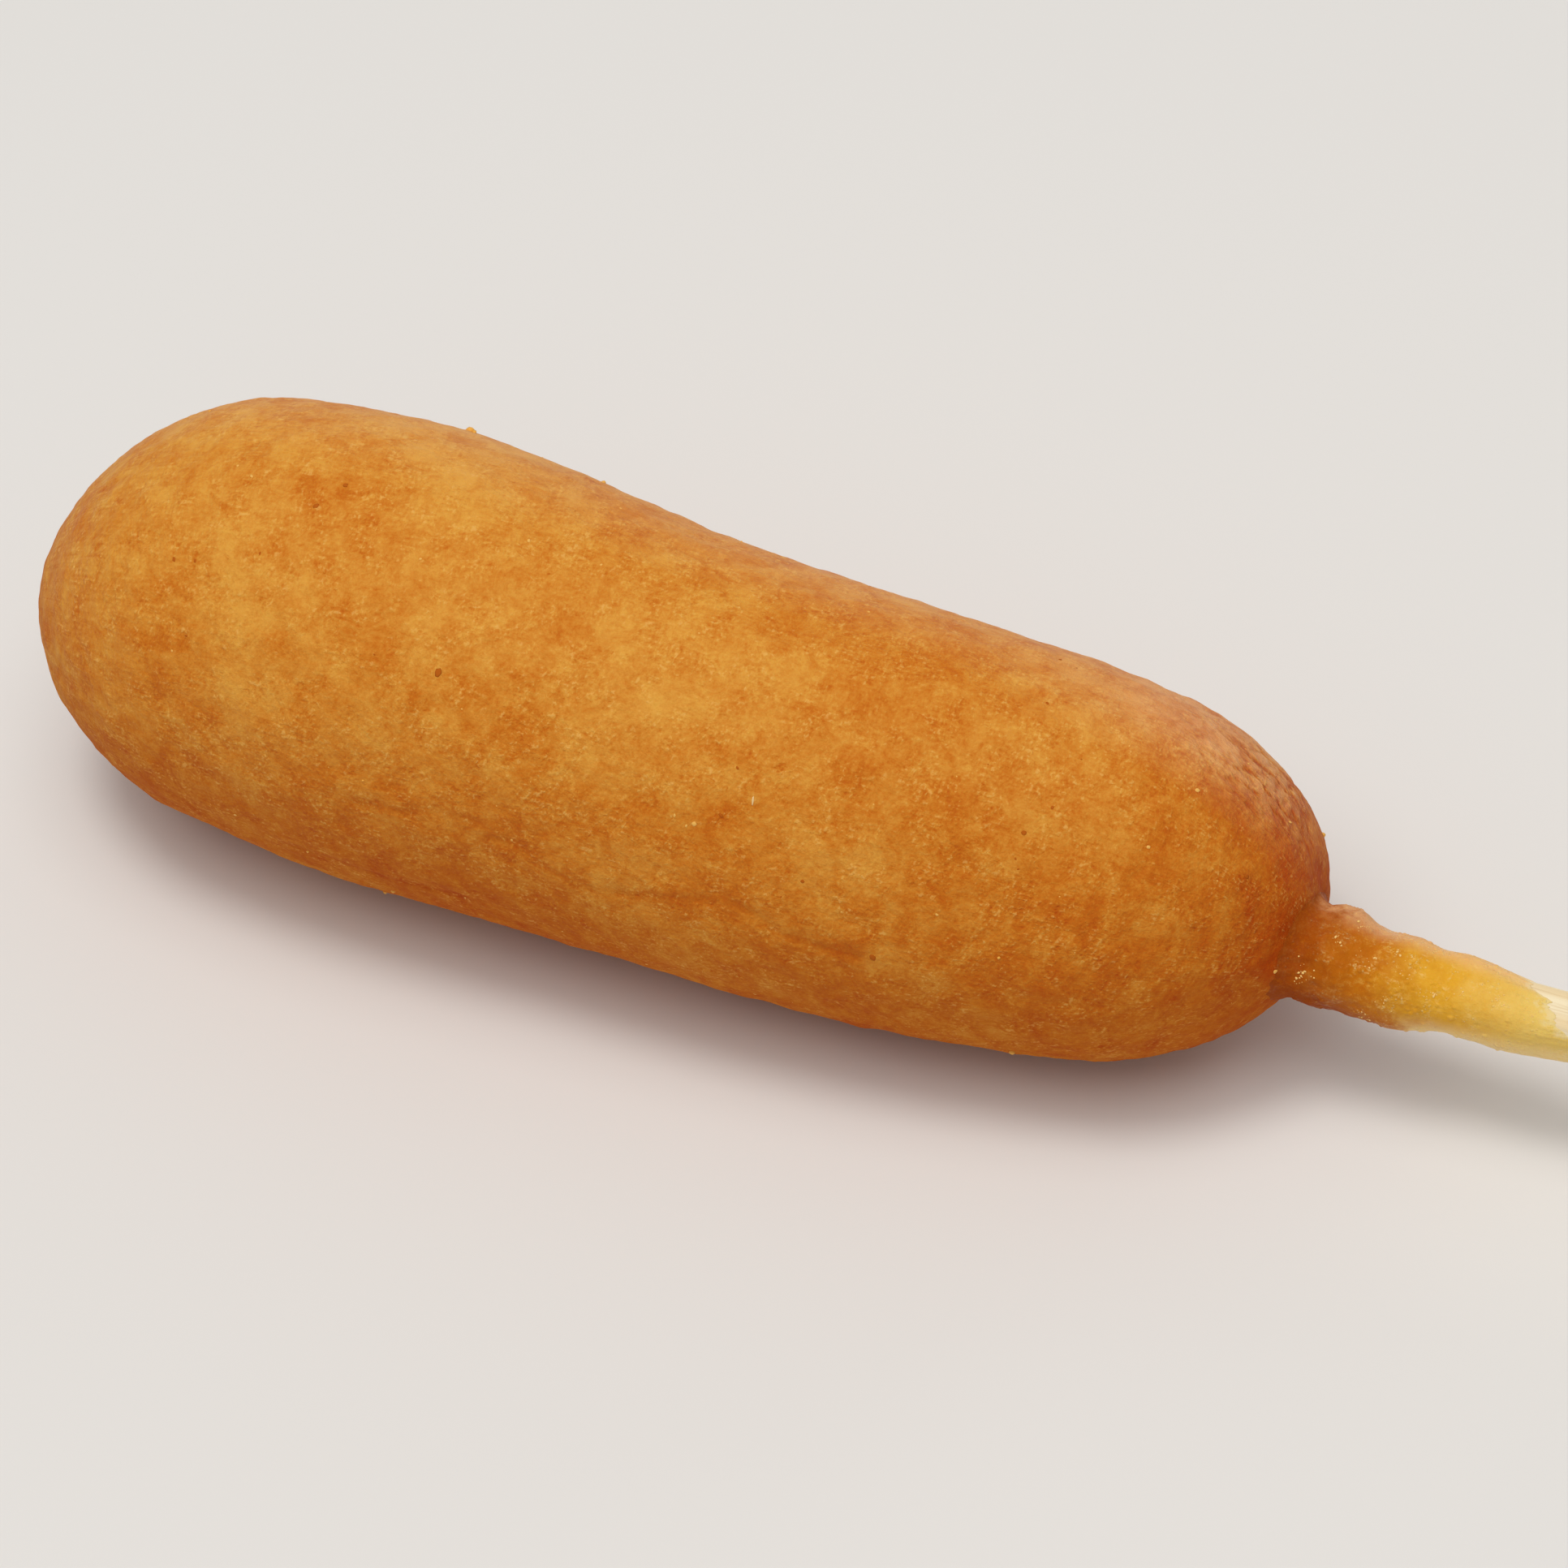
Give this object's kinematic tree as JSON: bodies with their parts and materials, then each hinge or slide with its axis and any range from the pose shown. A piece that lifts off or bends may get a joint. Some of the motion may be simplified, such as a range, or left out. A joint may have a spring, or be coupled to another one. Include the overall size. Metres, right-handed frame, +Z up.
{
  "type": "corn dog",
  "caption": "Corn dog lying on its side: a blunt, tapering batter-coated sausage whose batter thins out along a square wooden stick.",
  "frame": {"origin": "middle of the whole object's box in X and Y, at the surface that the corn dog lies on", "axes": "+X runs along the corn dog from the batter's rounded tip to the free end of the stick, +Z is up from the resting surface"},
  "size_m": [0.19, 0.0436, 0.0427],
  "materials": {
    "batter": "deep-fried corn batter, golden brown with darker and lighter mottling, finely rough, softly oily",
    "stick": "plain pale birch, sawn and sanded, fine lengthwise grain"
  },
  "bodies": {
    "root": {"batter": "batter", "stick": "stick"}
  },
  "joints": []
}
